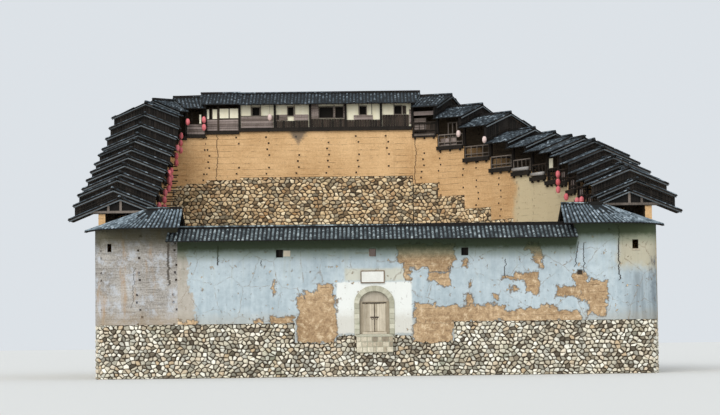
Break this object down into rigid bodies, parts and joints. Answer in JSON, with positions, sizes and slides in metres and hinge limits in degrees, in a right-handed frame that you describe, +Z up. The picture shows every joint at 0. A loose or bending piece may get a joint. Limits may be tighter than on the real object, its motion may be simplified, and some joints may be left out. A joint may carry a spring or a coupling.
{
  "type": "earthen hillside fort, half-size scale model",
  "caption": "Hillside earthen fort at half size: thick rubble and rammed-earth walls around a courtyard, stepped tiled galleries on top, arched gate with swinging leaves.",
  "frame": {"origin": "middle of the object's footprint, on the level of the lowest stones", "axes": "+X to the right along the front wall seen from outside the gate, +Y up the slope from the gate to the rear wall, +Z up"},
  "size_m": [22.4846, 19.375, 12.27],
  "materials": {
    "rubble": "dry rubble masonry of pale beige and grey-green stones with earth in the joints",
    "earth": "bare rammed earth with lift lines and putlog holes",
    "grey_earth": "weathered grey-beige rammed earth",
    "plaster": "old bluish-white lime plaster, fallen off in patches",
    "tile": "dark grey clay tiles, weathered",
    "front_tile": "blue-grey clay tiles in rows, weathered",
    "timber": "dark unpainted weathered timber",
    "panel": "cream limewashed panels",
    "arch_stone": "dressed grey-green stone",
    "gate_wood": "bleached vertical boards"
  },
  "bodies": {
    "fort": {"left_plinth": "rubble", "left_wall": "earth", "left_upper_wall": "earth", "left_gallery_frame": "timber", "left_roof": "tile", "rear_left_plinth": "rubble", "rear_left_wall": "earth", "rear_left_upper_wall": "earth", "rear_left_gallery_frame": "timber", "rear_left_roof": "tile", "rear_plinth": "rubble", "rear_wall": "earth", "rear_upper_wall": "earth", "rear_gallery_frame": "timber", "rear_roof": "tile", "rear_right_plinth": "rubble", "rear_right_wall": "earth", "rear_right_upper_wall": "earth", "rear_right_gallery_frame": "timber", "rear_right_roof": "tile", "right_plinth": "rubble", "right_wall": "earth", "right_upper_wall": "earth", "right_gallery_frame": "timber", "right_roof": "tile", "front_plinth_left": "rubble", "front_plinth_right": "rubble", "corner_plinth_left": "rubble", "corner_plinth_right": "rubble", "front_wall_left": "plaster", "front_wall_right": "plaster", "front_wall_over_gate": "plaster", "front_upper_wall": "plaster", "corner_wall_right": "plaster", "corner_upper_wall_right": "plaster", "corner_wall_left": "grey_earth", "corner_upper_wall_left": "grey_earth", "corner_roof_left": "front_tile", "corner_roof_right": "front_tile", "front_roof": "front_tile", "front_gallery_frame": "timber", "corner_frame_left": "timber", "corner_frame_right": "timber", "gate_frame": "timber", "name_board": "timber", "rear_gallery_panelling": "panel", "gate_tympanum": "panel", "gate_arch": "arch_stone", "gate_sill": "arch_stone"},
    "gate_leaf_left": {"gate_leaf_left": "gate_wood"},
    "gate_leaf_right": {"gate_leaf_right": "gate_wood"}
  },
  "joints": [
    {"name": "gate_left_hinge", "type": "hinge", "parent": "fort", "child": "gate_leaf_left", "pos_m": [-0.39434, -8.6875, 2.09], "axis": [0, 0, 1], "range_deg": [0, 85]},
    {"name": "gate_right_hinge", "type": "hinge", "parent": "fort", "child": "gate_leaf_right", "pos_m": [0.28566, -8.6875, 2.09], "axis": [0, 0, -1], "range_deg": [0, 85]}
  ]
}
